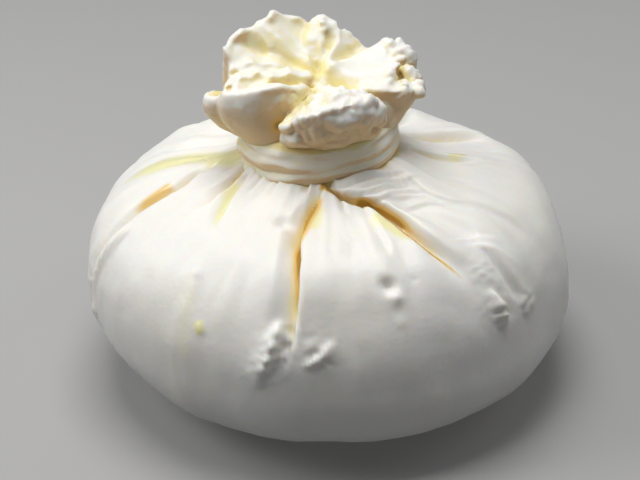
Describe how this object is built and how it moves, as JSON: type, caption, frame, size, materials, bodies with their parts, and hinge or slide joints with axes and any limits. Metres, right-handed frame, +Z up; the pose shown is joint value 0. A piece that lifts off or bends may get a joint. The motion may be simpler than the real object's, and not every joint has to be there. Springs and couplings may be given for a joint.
{
  "type": "burrata cheese",
  "caption": "Whole burrata: a squat round pouch of moist white curd with deep folds, a wrapped neck and a ruffled topknot, resting on its flat underside.",
  "frame": {"origin": "centre of the bounding box's base, on the surface the cheese rests on", "axes": "+Z up through the neck and topknot, +X to the right along the pouch's width, -Y towards the front, the side with the long central fold"},
  "size_m": [0.0998, 0.098, 0.0739],
  "materials": {
    "curd": "moist milky-white stretched curd, translucent in the folds, with thin streaks of yellow oil"
  },
  "bodies": {
    "root": {"burrata": "curd"}
  },
  "joints": []
}
